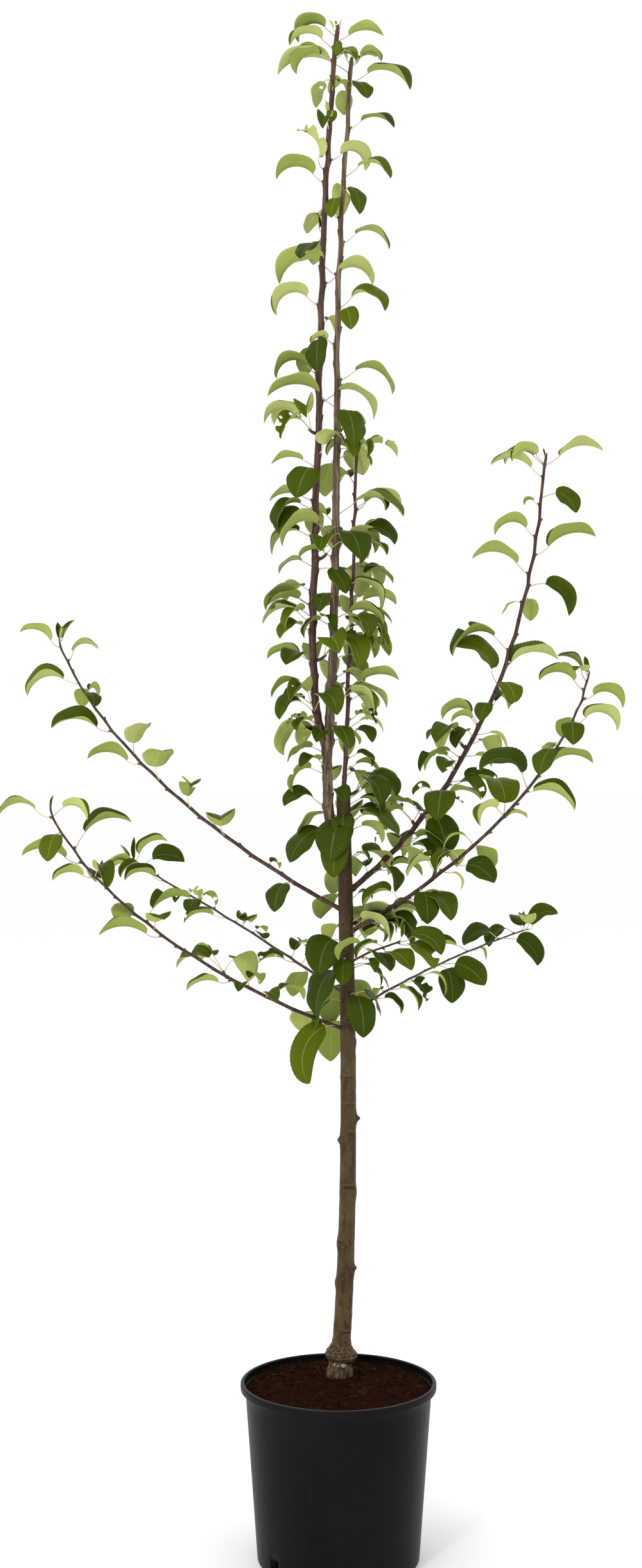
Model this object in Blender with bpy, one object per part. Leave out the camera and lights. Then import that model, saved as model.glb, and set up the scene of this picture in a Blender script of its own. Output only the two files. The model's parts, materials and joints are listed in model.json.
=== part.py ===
# A potted pear tree, about two metres tall, in a ten litre nursery pot.
# Metres, +Z up. The origin is the middle of the pot's flat underside, and -Y is the front.
import math
import random

import bmesh
import bpy
from mathutils import Vector
from mathutils.bvhtree import BVHTree

for item in list(bpy.data.objects):
    bpy.data.objects.remove(item, do_unlink=True)

GAP = 0.0003                    # room between pieces that touch

# The pot
POT_HEIGHT = 0.2375
RIM_RADIUS = 0.130
RIM_INNER_RADIUS = 0.1245
NECK_RADIUS = 0.1235            # outside of the wall, just under the rolled lip
BASE_RADIUS = 0.1076
WALL = 0.0018
FLOOR = 0.0025
LIP_HEIGHT = 0.011
LIP_BEND = 0.003                # height of the lip's rounded edges
LIP_CHAMFER = 0.002             # and how far they run in
BASE_CORNER = 0.004
POT_SIDES = 36                  # the compost has as many, so that facets run side by side
SLOT_COUNT = 5
SLOT_WIDTH = 0.016
SLOT_HEIGHT = 0.026
SLOT_REACH = 0.011              # how far each slot runs in under the base
SLOT_SPARE = 0.020              # how far its cutter stands out past the wall and below the floor
SLOT_FIRST = -140.0             # degrees round the pot, 0 is +X

# The compost
COMPOST_EDGE = 0.2295
COMPOST_TOP = 0.2310            # the flat that the stem rises from
COMPOST_FLAT = 0.027            # radius of that flat
COMPOST_STEPS = (0.35, 0.7, 1.0)

# The trunk, by its height above the compost
STEM_FOOT = (0.001, 0.045)
STEM_SIDES = 12
STEM_RINGS = 20
SHAFT_LOW = 0.0114
SHAFT_HIGH = 0.0094
UNION_HEIGHT = 0.028            # the graft, a swollen ring
UNION_SWELL = 0.0085
UNION_SPREAD = 0.017
FLARE = 0.0042
FLARE_SPREAD = 0.012
SETTLE = 0.0016
SETTLE_SPREAD = 0.120

LIMB_SIDES = 6
LIMB_STEPS = 161                # points that each limb's middle line is worked out at
CROWDING = {"trunk": 1.7, "leader_front": 1.7, "leader_back": 1.5}
CROWDING_USUAL = 1.15           # above 1, a limb's rings stand closer together at its foot

# Each limb leaves its parent at a height, in a direction round the tree, and its lean from the
# vertical eases from the first number at the foot to the second at the tip. Radii likewise.
LIMBS = {
    "trunk": dict(parent=None, azimuth=0, lean=(4.7, -1.3), ease=2.5, length=0.790,
                  radius=(SHAFT_LOW, SHAFT_HIGH), taper=1.0, rings=STEM_RINGS),
    "leader_front": dict(parent="trunk", height=0.936, azimuth=205, lean=(43, -2.1), ease=22,
                         sway=(2.0, 1.25, 0.61), length=1.076, radius=(0.0074, 0.0028), taper=1.3,
                         rings=22),
    "leader_back": dict(parent="leader_front", height=1.072, azimuth=150, lean=(21.6, -9.3),
                        ease=11.8, sway=(7.6, 0.37, 1.07), length=0.974, radius=(0.0053, 0.0030),
                        taper=0.7, rings=18),
    "leader_thin": dict(parent="trunk", height=1.016, azimuth=40, lean=(3.5, 1.0), ease=0.3,
                        length=0.467, radius=(0.0031, 0.0019), taper=1.0, rings=8),
    "bough_left_high": dict(parent="trunk", height=0.856, azimuth=162, lean=(64, 9.5), ease=0.39,
                            length=0.573, radius=(0.0030, 0.0014), taper=1.0, rings=12),
    "bough_left_middle": dict(parent="trunk", height=0.7435, azimuth=135, lean=(68.5, 78),
                              ease=0.3, length=0.478, radius=(0.0020, 0.0012), taper=1.0, rings=8),
    "bough_left_low": dict(parent="trunk", height=0.6965, azimuth=208, lean=(69.5, 7.5),
                           ease=0.33, length=0.537, radius=(0.0026, 0.0013), taper=1.0, rings=12),
    "bough_right_high": dict(parent="trunk", height=0.881, azimuth=22, lean=(56, 6), ease=1.4,
                             length=0.699, radius=(0.0038, 0.0019), taper=0.9, rings=14),
    "bough_right_middle": dict(parent="trunk", height=0.827, azimuth=-30, lean=(63, 6), ease=0.44,
                               length=0.505, radius=(0.0030, 0.0013), taper=1.0, rings=12),
    "bough_right_short": dict(parent="trunk", height=0.7813, azimuth=-62, lean=(56, 75), ease=4,
                              length=0.148, radius=(0.0017, 0.0012), taper=1.0, rings=6),
    "bough_right_low": dict(parent="trunk", height=0.718, azimuth=45, lean=(70.5, 81), ease=1.4,
                            length=0.386, radius=(0.0018, 0.0011), taper=1.0, rings=8),
}

# Each mass of leaves: where it starts and ends along its limb, as fractions of the limb's length,
# how far it reaches inward and outward of the limb, and, on an upright limb, which way is out.
MASSES = {
    "leader_back": [
        (0.05, 0.13, 0.012, 0.068, 180), (0.16, 0.27, 0.013, 0.073, 180),
        (0.30, 0.42, 0.013, 0.066, 180), (0.45, 0.55, 0.013, 0.086, 180),
        (0.61, 0.75, 0.013, 0.070, 180), (0.79, 0.91, 0.012, 0.068, 175),
        (0.94, 1.03, 0.012, 0.074, 180)],
    "leader_front": [
        (0.035, 0.11, 0.014, 0.060, 195), (0.50, 0.62, 0.013, 0.076, -5),
        (0.66, 0.79, 0.012, 0.064, -5), (0.83, 0.94, 0.012, 0.062, 0),
        (0.97, 1.055, 0.012, 0.078, 0)],
    "leader_thin": [
        (0.05, 0.24, 0.009, 0.078, 10), (0.29, 0.52, 0.009, 0.058, 15),
        (0.56, 0.78, 0.009, 0.060, 5), (0.83, 1.05, 0.009, 0.057, 5)],
    "trunk": [
        (0.86, 0.925, 0.018, 0.048, 275), (0.71, 0.80, 0.018, 0.050, 185),
        (0.485, 0.575, 0.018, 0.078, 205), (0.60, 0.69, 0.018, 0.052, -35),
        (0.90, 0.975, 0.018, 0.066, 15)],
    "bough_left_high": [
        (0.15, 0.28, 0.025, 0.038), (0.34, 0.50, 0.050, 0.016),
        (0.58, 0.73, 0.056, 0.046), (0.78, 1.07, 0.058, 0.066)],
    "bough_left_middle": [
        (0.20, 0.31, 0.044, 0.034), (0.38, 0.50, 0.037, 0.014),
        (0.59, 0.75, 0.031, 0.031), (0.80, 1.08, 0.066, 0.048)],
    "bough_left_low": [
        (0.20, 0.34, 0.054, 0.016), (0.38, 0.48, 0.056, 0.024),
        (0.61, 0.75, 0.050, 0.046), (0.79, 1.06, 0.070, 0.058)],
    "bough_right_high": [
        (0.12, 0.22, 0.010, 0.064), (0.25, 0.40, 0.066, 0.080),
        (0.43, 0.65, 0.076, 0.074), (0.69, 0.87, 0.076, 0.078),
        (0.91, 1.05, 0.072, 0.072)],
    "bough_right_middle": [
        (0.24, 0.34, 0.008, 0.058), (0.39, 0.60, 0.024, 0.060),
        (0.65, 0.84, 0.036, 0.062), (0.88, 1.07, 0.058, 0.060)],
    "bough_right_short": [(0.45, 1.28, 0.040, 0.050)],
    "bough_right_low": [
        (0.20, 0.42, 0.016, 0.056), (0.50, 0.66, 0.034, 0.062), (0.80, 1.15, 0.050, 0.068)],
}
MASS_SIDES = 7
MASS_RINGS = 5
MASS_THINNESS = 0.62            # a pad's thickness over its width
MASS_LEAST = 0.020              # half of the thinnest pad
MASS_UNEVEN = 0.053             # how much each of a pad's lobes swells it
MASS_SHRINK = 0.024             # and how much is taken off all round to make up for them
MASS_BLUNT = 0.55               # below 1, a pad's ends are blunt
MASS_DROOP = 0.6                # how steeply the pads hang below a spreading bough

COLOURS = {
    "pot": ((0.030, 0.031, 0.030), 0.42),
    "compost": ((0.030, 0.012, 0.008), 0.95),
    "trunk": ((0.105, 0.072, 0.038), 0.75),
    "shoot": ((0.075, 0.036, 0.030), 0.60),
    "leaves": ((0.140, 0.210, 0.050), 0.55),
}


def make_material(name):
    colour, roughness = COLOURS[name]
    material = bpy.data.materials.new(name)
    material.use_nodes = True
    shader = material.node_tree.nodes["Principled BSDF"]
    shader.inputs["Base Color"].default_value = (*colour, 1.0)
    shader.inputs["Roughness"].default_value = roughness
    shader.inputs["Metallic"].default_value = 0.0
    return material


def add_object(name, mesh_edit, material_name, smooth=True):
    """Turn a bmesh into a named object, with its own material."""
    mesh_edit.normal_update()
    bmesh.ops.recalc_face_normals(mesh_edit, faces=mesh_edit.faces)
    mesh = bpy.data.meshes.new(name)
    mesh_edit.to_mesh(mesh)
    mesh_edit.free()
    if smooth:
        mesh.shade_smooth()
        mesh.set_sharp_from_angle(angle=math.radians(35))
    obj = bpy.data.objects.new(name, mesh)
    bpy.context.scene.collection.objects.link(obj)
    if material_name:
        obj.data.materials.append(make_material(material_name))
    return obj


def skin_rings(rings, start=None, end=None):
    """Join rings of points into a closed skin. A start or end point makes a fan, else a flat cap."""
    mesh_edit = bmesh.new()
    loops = [[mesh_edit.verts.new(point) for point in ring] for ring in rings]
    count = len(loops[0])
    for low, high in zip(loops, loops[1:]):
        for k in range(count):
            n = (k + 1) % count
            mesh_edit.faces.new((low[k], low[n], high[n], high[k]))
    for loop, tip in ((loops[0], start), (loops[-1], end)):
        if tip is None:
            mesh_edit.faces.new(loop)
            continue
        pole = mesh_edit.verts.new(tip)
        for k in range(count):
            mesh_edit.faces.new((loop[k], loop[(k + 1) % count], pole))
    return mesh_edit


def circle(centre, radius, count):
    """A level ring of points."""
    return [Vector((centre[0] + radius * math.cos(2 * math.pi * k / count),
                    centre[1] + radius * math.sin(2 * math.pi * k / count), centre[2]))
            for k in range(count)]


# The limbs

def limb_curve(limb, count):
    """Points along a limb: its lean eases from foot to tip, with a slow sway, and is followed."""
    azimuth = math.radians(limb["azimuth"])
    lean_foot, lean_tip = limb["lean"]
    sway, waves, phase = limb.get("sway", (0.0, 0.0, 0.0))
    point = limb_foot(limb)
    points = [point.copy()]
    last = None
    for k in range(count):
        s = k / (count - 1)
        lean = lean_tip + (lean_foot - lean_tip) * (1.0 - s) ** limb["ease"]
        lean = math.radians(lean + sway * math.sin(2 * math.pi * (waves * s + phase)))
        heading = Vector((math.sin(lean) * math.cos(azimuth),
                          math.sin(lean) * math.sin(azimuth), math.cos(lean)))
        if last is not None:
            point = point + (heading + last) * (0.5 * limb["length"] / (count - 1))
            points.append(point.copy())
        last = heading
    return points


def limb_foot(limb):
    """Where the limb starts: on the compost, or on its parent's middle line at its height."""
    if limb["parent"] is None:
        return Vector((*STEM_FOOT, COMPOST_TOP + GAP))
    line = FINE[limb["parent"]]
    for low, high in zip(line, line[1:]):
        if high.z >= limb["height"]:
            return low.lerp(high, (limb["height"] - low.z) / (high.z - low.z))
    return line[-1].copy()


def along(line, s):
    """The point and direction at fraction s of a limb, carried straight on beyond its tip."""
    place = min(max(s, 0.0), 1.0) * (len(line) - 1)
    k = min(int(place), len(line) - 2)
    heading = (line[k + 1] - line[k]).normalized()
    point = line[k].lerp(line[k + 1], place - k)
    if s > 1.0:
        point = point + heading * ((s - 1.0) * (line[-1] - line[0]).length)
    return point, heading


def limb_radius(name, s):
    limb = LIMBS[name]
    foot, tip = limb["radius"]
    radius = tip + (foot - tip) * (1.0 - s) ** limb["taper"]
    if name == "trunk":
        height = s * limb["length"]
        radius += UNION_SWELL * math.exp(-((height - UNION_HEIGHT) / UNION_SPREAD) ** 2)
        radius += FLARE * math.exp(-height / FLARE_SPREAD)
        radius += SETTLE * math.exp(-height / SETTLE_SPREAD)
    return radius


def limb_stations(name):
    """Fractions along a limb where it gets a ring: closer together at the foot, where it bends."""
    rings = LIMBS[name]["rings"]
    crowding = CROWDING.get(name, CROWDING_USUAL)
    return [(k / (rings - 1)) ** crowding for k in range(rings)]


def limb_solid(name, grow=0.0):
    """The limb as a tapering tube with flat ends, or a little larger all round as a cutter."""
    sides = STEM_SIDES if name == "trunk" else LIMB_SIDES
    line = FINE[name]
    rings = []
    for s in limb_stations(name):
        point, heading = along(line, s)
        if name == "trunk":
            heading = Vector((0.0, 0.0, 1.0))
        across = heading.cross(Vector((0.0, 1.0, 0.0))).normalized()
        other = heading.cross(across).normalized()
        radius = limb_radius(name, s) + grow
        end = grow if s == 1.0 else (-grow if s == 0.0 else 0.0)
        rings.append([point + heading * end
                      + across * (radius * math.cos(2 * math.pi * k / sides))
                      + other * (radius * math.sin(2 * math.pi * k / sides))
                      for k in range(sides)])
    return skin_rings(rings)


def cut_by(obj, cutter):
    """Cut a solid round its neighbour, which is a little larger all round."""
    cut = obj.modifiers.new("round_" + cutter.name, "BOOLEAN")
    cut.operation = "DIFFERENCE"
    cut.solver = "EXACT"
    cut.object = cutter


def push_out(mesh_edit, distance):
    """Make a solid a little larger all round."""
    mesh_edit.normal_update()
    bmesh.ops.recalc_face_normals(mesh_edit, faces=mesh_edit.faces)
    mesh_edit.normal_update()
    for vert, normal in [(vert, vert.normal.copy()) for vert in mesh_edit.verts]:
        vert.co = vert.co + normal * distance


def make_cutter(name, mesh_edit):
    cutter = add_object("cut_" + name, mesh_edit, None, smooth=False)
    cutter.hide_render = True
    cutter.display_type = "WIRE"
    return cutter


# The masses of leaves

def mass_axes(heading, limb, out_azimuth):
    """The way out from the limb, and the way across, both square to the limb."""
    if out_azimuth is None:
        azimuth = math.radians(limb["azimuth"])
        outward = Vector((math.cos(azimuth), math.sin(azimuth), -MASS_DROOP))
    else:
        azimuth = math.radians(out_azimuth)
        outward = Vector((math.cos(azimuth), math.sin(azimuth), 0.0))
    outward = (outward - heading * outward.dot(heading)).normalized()
    return outward, heading.cross(outward).normalized()


def mass_solid(limb_name, start, end, inner, outer, out_azimuth, seed):
    """An uneven closed pad that lies along its limb, blunt at both ends."""
    chance = random.Random(seed)
    lobes = [(chance.uniform(0.4, 1.0), n, chance.uniform(0, 2 * math.pi), chance.uniform(-2, 2))
             for n in (1, 2, 3)]
    line = FINE[limb_name]
    half = (inner + outer) / 2
    thick = max(MASS_LEAST, half * MASS_THINNESS)
    rings = []
    for k in range(MASS_RINGS):
        t = (k + 0.5) / MASS_RINGS
        point, heading = along(line, start + (end - start) * t)
        outward, across = mass_axes(heading, LIMBS[limb_name], out_azimuth)
        swell = math.sin(math.pi * t) ** MASS_BLUNT
        ring = []
        for j in range(MASS_SIDES):
            turn = 2 * math.pi * j / MASS_SIDES
            rough = sum(size * math.sin(n * turn + phase + drift * t * math.pi)
                        for size, n, phase, drift in lobes)
            size = swell * (1.0 - MASS_SHRINK + MASS_UNEVEN * rough)
            ring.append(point + outward * ((outer - inner) / 2 + half * size * math.cos(turn))
                        + across * (thick * size * math.sin(turn)))
        rings.append(ring)
    first, heading = along(line, start)
    outward, across = mass_axes(heading, LIMBS[limb_name], out_azimuth)
    last, heading = along(line, end)
    outward_end, across = mass_axes(heading, LIMBS[limb_name], out_azimuth)
    middle = (outer - inner) / 2
    return skin_rings(rings, first + outward * middle, last + outward_end * middle)


def skins_meet(one, other):
    """Whether the skins of two objects cross."""
    return bool(search_tree(one).overlap(search_tree(other)))


def search_tree(obj):
    mesh = obj.data
    return BVHTree.FromPolygons([v.co for v in mesh.vertices], [p.vertices for p in mesh.polygons])


# The pot and what is in it

def turned(profile, count):
    """A closed round solid from a profile of (radius, height) that starts and ends on the axis."""
    start = Vector((0.0, 0.0, profile[0][1]))
    end = Vector((0.0, 0.0, profile[-1][1]))
    rings = [circle((0.0, 0.0, z), r, count) for r, z in profile[1:-1]]
    return skin_rings(rings, start, end)


def wall_inside(z):
    """Inner radius of the pot's wall at a height below the lip."""
    t = (z - FLOOR) / (POT_HEIGHT - LIP_HEIGHT - FLOOR)
    return BASE_RADIUS - WALL + (NECK_RADIUS - BASE_RADIUS) * t


def make_pot():
    lip_low = POT_HEIGHT - LIP_HEIGHT
    profile = [
        (0.0, 0.0), (BASE_RADIUS - BASE_CORNER, 0.0),
        (BASE_RADIUS - BASE_CORNER * 0.3, BASE_CORNER * 0.3), (BASE_RADIUS, BASE_CORNER),
        (NECK_RADIUS, lip_low), (RIM_RADIUS - LIP_CHAMFER, lip_low + GAP),
        (RIM_RADIUS, lip_low + LIP_BEND), (RIM_RADIUS, POT_HEIGHT - LIP_BEND),
        (RIM_RADIUS - LIP_CHAMFER, POT_HEIGHT), (RIM_INNER_RADIUS, POT_HEIGHT),
        (wall_inside(lip_low), lip_low), (wall_inside(FLOOR), FLOOR), (0.0, FLOOR)]
    pot = add_object("pot", turned(profile, POT_SIDES), "pot")
    for k in range(SLOT_COUNT):
        turn = math.radians(SLOT_FIRST + 360.0 * k / SLOT_COUNT)
        inner = BASE_RADIUS - SLOT_REACH
        outer = BASE_RADIUS + SLOT_SPARE
        cube = bmesh.new()
        bmesh.ops.create_cube(cube, size=1.0)
        for vert in cube.verts:
            x = (inner + outer) / 2 + vert.co.x * (outer - inner)
            y = vert.co.y * SLOT_WIDTH
            z = (vert.co.z + 0.5) * (SLOT_HEIGHT + SLOT_SPARE) - SLOT_SPARE
            vert.co = (x * math.cos(turn) - y * math.sin(turn),
                       x * math.sin(turn) + y * math.cos(turn), z)
        cut_by(pot, make_cutter("slot_%d" % (k + 1), cube))
    return pot


def make_compost():
    """Compost that fills the pot and mounds up a little to the flat round the stem."""
    low = FLOOR + GAP
    rings = [circle((0.0, 0.0, low), wall_inside(low) - GAP, POT_SIDES),
             circle((0.0, 0.0, COMPOST_EDGE), wall_inside(COMPOST_EDGE) - GAP, POT_SIDES)]
    for t in COMPOST_STEPS:
        centre = (STEM_FOOT[0] * t, STEM_FOOT[1] * t,
                  COMPOST_EDGE + (COMPOST_TOP - COMPOST_EDGE) * math.sin(0.5 * math.pi * t))
        radius = (wall_inside(COMPOST_EDGE) - GAP) * (1 - t) + COMPOST_FLAT * t
        rings.append(circle(centre, radius, POT_SIDES))
    return add_object("compost", skin_rings(rings), "compost")


make_pot()
make_compost()

FINE = {}
LIMB_OBJECTS = {}
LIMB_CUTTERS = {}
for limb_name, limb_sizes in LIMBS.items():
    FINE[limb_name] = limb_curve(limb_sizes, LIMB_STEPS)
    shade = "trunk" if limb_name == "trunk" else "shoot"
    LIMB_OBJECTS[limb_name] = add_object(limb_name, limb_solid(limb_name), shade)
    LIMB_CUTTERS[limb_name] = make_cutter(limb_name, limb_solid(limb_name, GAP))
    if limb_sizes["parent"]:
        cut_by(LIMB_OBJECTS[limb_name], LIMB_CUTTERS[limb_sizes["parent"]])

mass_cutters = []
for limb_name, pads in MASSES.items():
    for number, pad in enumerate(pads, 1):
        start, end, inner, outer = pad[:4]
        out_azimuth = pad[4] if len(pad) > 4 else None
        mass_name = "leaves_%s_%d" % (limb_name.replace("bough_", ""), number)
        shape = mass_solid(limb_name, start, end, inner, outer, out_azimuth, mass_name)
        larger = shape.copy()
        mass = add_object(mass_name, shape, "leaves")
        for cutter in mass_cutters + list(LIMB_CUTTERS.values()):
            if skins_meet(mass, cutter):
                cut_by(mass, cutter)
        push_out(larger, GAP * 2)
        mass_cutters.append(make_cutter(mass_name, larger))
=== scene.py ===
# Looks of the potted pear tree: bark, leaves, compost and pot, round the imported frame.
import json
import math

import bpy
import numpy as np
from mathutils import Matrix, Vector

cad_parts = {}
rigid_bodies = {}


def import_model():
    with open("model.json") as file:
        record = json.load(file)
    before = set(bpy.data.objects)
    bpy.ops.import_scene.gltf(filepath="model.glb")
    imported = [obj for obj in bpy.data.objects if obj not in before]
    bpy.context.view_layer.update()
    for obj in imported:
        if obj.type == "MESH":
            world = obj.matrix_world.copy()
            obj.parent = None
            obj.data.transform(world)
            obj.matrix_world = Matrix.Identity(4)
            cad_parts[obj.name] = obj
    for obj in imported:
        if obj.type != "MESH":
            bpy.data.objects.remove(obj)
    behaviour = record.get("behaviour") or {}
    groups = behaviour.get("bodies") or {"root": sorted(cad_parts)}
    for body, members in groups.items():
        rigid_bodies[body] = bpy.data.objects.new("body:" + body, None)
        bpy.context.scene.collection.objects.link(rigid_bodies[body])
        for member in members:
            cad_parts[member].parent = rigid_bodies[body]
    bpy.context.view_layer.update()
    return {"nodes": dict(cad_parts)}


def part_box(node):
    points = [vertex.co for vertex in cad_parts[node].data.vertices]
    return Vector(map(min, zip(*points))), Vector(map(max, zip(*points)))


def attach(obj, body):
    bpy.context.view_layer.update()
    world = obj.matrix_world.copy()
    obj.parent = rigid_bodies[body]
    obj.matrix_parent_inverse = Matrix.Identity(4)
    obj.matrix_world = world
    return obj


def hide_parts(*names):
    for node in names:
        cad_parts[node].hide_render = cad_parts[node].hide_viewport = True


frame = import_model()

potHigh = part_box("pot")[1]
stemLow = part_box("trunk")[0]
tau = 2 * math.pi
print("frame loaded:", len(frame["nodes"]), "nodes")


# Shader maths: a wrapped socket that adds Math nodes as it is worked with

class Wire:
    def __init__(self, tree, socket):
        self.tree = tree
        self.socket = socket

    def maths(self, operation, first, second=None):
        node = self.tree.nodes.new("ShaderNodeMath")
        node.operation = operation
        for slot, value in zip(node.inputs, (first, second)):
            if isinstance(value, Wire):
                self.tree.links.new(value.socket, slot)
            elif value is not None:
                slot.default_value = value
        return Wire(self.tree, node.outputs[0])

    def __add__(self, other): return self.maths("ADD", self, other)
    def __radd__(self, other): return self.maths("ADD", other, self)
    def __sub__(self, other): return self.maths("SUBTRACT", self, other)
    def __rsub__(self, other): return self.maths("SUBTRACT", other, self)
    def __mul__(self, other): return self.maths("MULTIPLY", self, other)
    def __rmul__(self, other): return self.maths("MULTIPLY", other, self)

    def sine(self): return self.maths("SINE", self)
    def size(self): return self.maths("ABSOLUTE", self)

    # 0 below the low edge, 1 above the high edge, straight between
    def ramp(self, low, high):
        stretched = (self - low) * (1.0 / (high - low))
        stretched.socket.node.use_clamp = True
        return stretched


class Finish:
    # One material: its Principled shader, and the nodes that feed it
    def __init__(self, name, roughness=0.5, specular=0.5):
        self.material = bpy.data.materials.new(name)
        self.material.use_nodes = True
        self.tree = self.material.node_tree
        self.shader = self.tree.nodes["Principled BSDF"]
        self.shader.inputs["Roughness"].default_value = roughness
        self.shader.inputs["Specular IOR Level"].default_value = specular

    # Any node: its settings first, then the values or links of its sockets
    def node(self, kind, settings=None, output=0, **inputs):
        node = self.tree.nodes.new(kind)
        for key, value in (settings or {}).items():
            setattr(node, key, value)
        for key, value in inputs.items():
            slot = node.inputs[int(key[1:])] if key[0] == "n" and key[1:].isdigit() else node.inputs[key]
            if isinstance(value, Wire):
                self.tree.links.new(value.socket, slot)
            else:
                slot.default_value = value
        return Wire(self.tree, node.outputs[output])

    def place(self, kind="Object"):
        return self.node("ShaderNodeTexCoord", output=kind)

    def stretched(self, vector, scale):
        return self.node("ShaderNodeMapping", Vector=vector, Scale=scale)

    def noise(self, vector, scale, detail=3.0, roughness=0.55):
        return self.node("ShaderNodeTexNoise", Vector=vector, Scale=scale, Detail=detail,
                         Roughness=roughness)

    # Noise drawn out by a different scale along each axis
    def grained(self, place, scales, detail, roughness=0.55):
        return self.noise(self.stretched(place, scales), 1.0, detail, roughness)

    # How far each point is from the nearest of many scattered dots
    def dots(self, vector, scale):
        return self.node("ShaderNodeTexVoronoi", Vector=vector, Scale=scale)

    def mix(self, share, first, second, blend="MIX"):
        colours = [c if isinstance(c, Wire) else (*c, 1.0) for c in (first, second)]
        return self.node("ShaderNodeMix", {"data_type": "RGBA", "blend_type": blend}, 2,
                         n0=share, n6=colours[0], n7=colours[1])

    def colour(self, value):
        if isinstance(value, Wire):
            self.tree.links.new(value.socket, self.shader.inputs["Base Color"])
        else:
            self.shader.inputs["Base Color"].default_value = (*value, 1.0)
        return self

    def feed(self, name, wire):
        self.tree.links.new(wire.socket, self.shader.inputs[name])
        return self

    def bump(self, height, distance, strength=1.0):
        wire = self.node("ShaderNodeBump", Height=height, Distance=distance, Strength=strength)
        return self.feed("Normal", wire)


# Meshes from whole arrays

def addObject(name, data):
    obj = bpy.data.objects.new(name, data)
    bpy.context.scene.collection.objects.link(obj)
    return obj


# A grid of points, rows by columns, as quads. Its columns may close into a ring.
def gridFaces(rows, columns, ring, start=0):
    row = np.arange(rows - 1)[:, None]
    column = np.arange(columns if ring else columns - 1)[None, :]
    following = (column + 1) % columns
    faces = np.stack([row * columns + column, row * columns + following,
                      (row + 1) * columns + following, (row + 1) * columns + column], -1)
    return faces.reshape(-1, 4) + start


class Heap:
    # Points and quads of many small shapes, gathered for one joined piece
    def __init__(self):
        self.points, self.faces, self.marks, self.uvs, self.total = [], [], [], [], 0

    def add(self, points, faces, mark=0, uv=None):
        points = np.asarray(points, float).reshape(-1, 3)
        self.points.append(points)
        self.faces.append(np.asarray(faces) + self.total)
        self.marks.append(np.full(len(faces), mark) if np.isscalar(mark) else mark)
        self.uvs.append(np.zeros((len(points), 2)) if uv is None else uv)
        self.total += len(points)

    def piece(self, name, materials, slot, nodes=(), smooth=True):
        points, faces = np.concatenate(self.points), np.concatenate(self.faces)
        mesh = bpy.data.meshes.new(name)
        mesh.from_pydata(points, [], faces)
        mesh.polygons.foreach_set("material_index", np.concatenate(self.marks).astype(np.int32))
        uvLayer = mesh.uv_layers.new(name="surface")
        uvLayer.data.foreach_set("uv", np.concatenate(self.uvs)[faces.reshape(-1)].reshape(-1))
        if smooth:
            mesh.shade_smooth()
        obj = addObject(name, mesh)
        for material in materials:
            mesh.materials.append(material)
        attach(obj, "root")
        if nodes:
            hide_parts(*nodes)
        return obj


# Smooth unevenness between about -1 and 1: a sum of sines along random directions
def lumps(points, scale, seed, waves=7):
    chance = np.random.default_rng(seed)
    directions = chance.normal(size=(waves, 3)) * scale
    phases = chance.uniform(0, tau, waves)
    return np.sin(points @ directions.T + phases).sum(-1) / math.sqrt(waves * 2.0)


def unit(vectors):
    return vectors / np.linalg.norm(vectors, axis=-1, keepdims=True)


# Equal turns of a circle, in radians
def turns(count):
    return np.arange(count) * tau / count


# Rings of offsets: cosine of the turn along one direction plus its sine along another
def ringsRound(one, two, around):
    return one[:, None] * np.cos(around)[None, :, None] + two[:, None] * np.sin(around)[None, :, None]


# The path from a start along headings: each step takes the mean of two neighbouring headings
def walked(start, heading, step):
    steps = (heading[1:] + heading[:-1]) * (0.5 * step)
    return start + np.concatenate([np.zeros((1, 3)), np.cumsum(steps, 0)])


# The limbs: the same sizes as the solids have

stemFoot = (0.001, 0.045, float(stemLow[2]))

# A limb: the height where it leaves its parent, its azimuth, its lean from the vertical at foot and
# tip in degrees and how fast that eases, its length, its radii at foot and tip, and their taper
def limbSizes(height, azimuth, lean, ease, length, radius, taper=1.0, parent="trunk", sway=(0, 0, 0)):
    return dict(height=height, azimuth=azimuth, lean=lean, ease=ease, length=length, radius=radius,
                taper=taper, parent=parent, sway=sway)


limbs = {
    "trunk": limbSizes(0, 0, (4.7, -1.3), 2.5, 0.790, (0.0114, 0.0094), parent=None),
    "leader_front": limbSizes(0.936, 205, (43, -2.1), 22, 1.076, (0.0074, 0.0028), 1.3,
                              sway=(2.0, 1.25, 0.61)),
    "leader_back": limbSizes(1.072, 150, (21.6, -9.3), 11.8, 0.974, (0.0053, 0.0030), 0.7,
                             parent="leader_front", sway=(7.6, 0.37, 1.07)),
    "leader_thin": limbSizes(1.016, 40, (3.5, 1.0), 0.3, 0.467, (0.0031, 0.0019)),
    "bough_left_high": limbSizes(0.856, 162, (64, 9.5), 0.39, 0.573, (0.0030, 0.0014)),
    "bough_left_middle": limbSizes(0.7435, 135, (68.5, 78), 0.3, 0.478, (0.0020, 0.0012)),
    "bough_left_low": limbSizes(0.6965, 208, (69.5, 7.5), 0.33, 0.537, (0.0026, 0.0013)),
    "bough_right_high": limbSizes(0.881, 22, (56, 6), 1.4, 0.699, (0.0038, 0.0019), 0.9),
    "bough_right_middle": limbSizes(0.827, -30, (63, 6), 0.44, 0.505, (0.0030, 0.0013)),
    "bough_right_short": limbSizes(0.7813, -62, (56, 75), 4, 0.148, (0.0017, 0.0012)),
    "bough_right_low": limbSizes(0.718, 45, (70.5, 81), 1.4, 0.386, (0.0018, 0.0011)),
}
lines = {}


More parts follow.
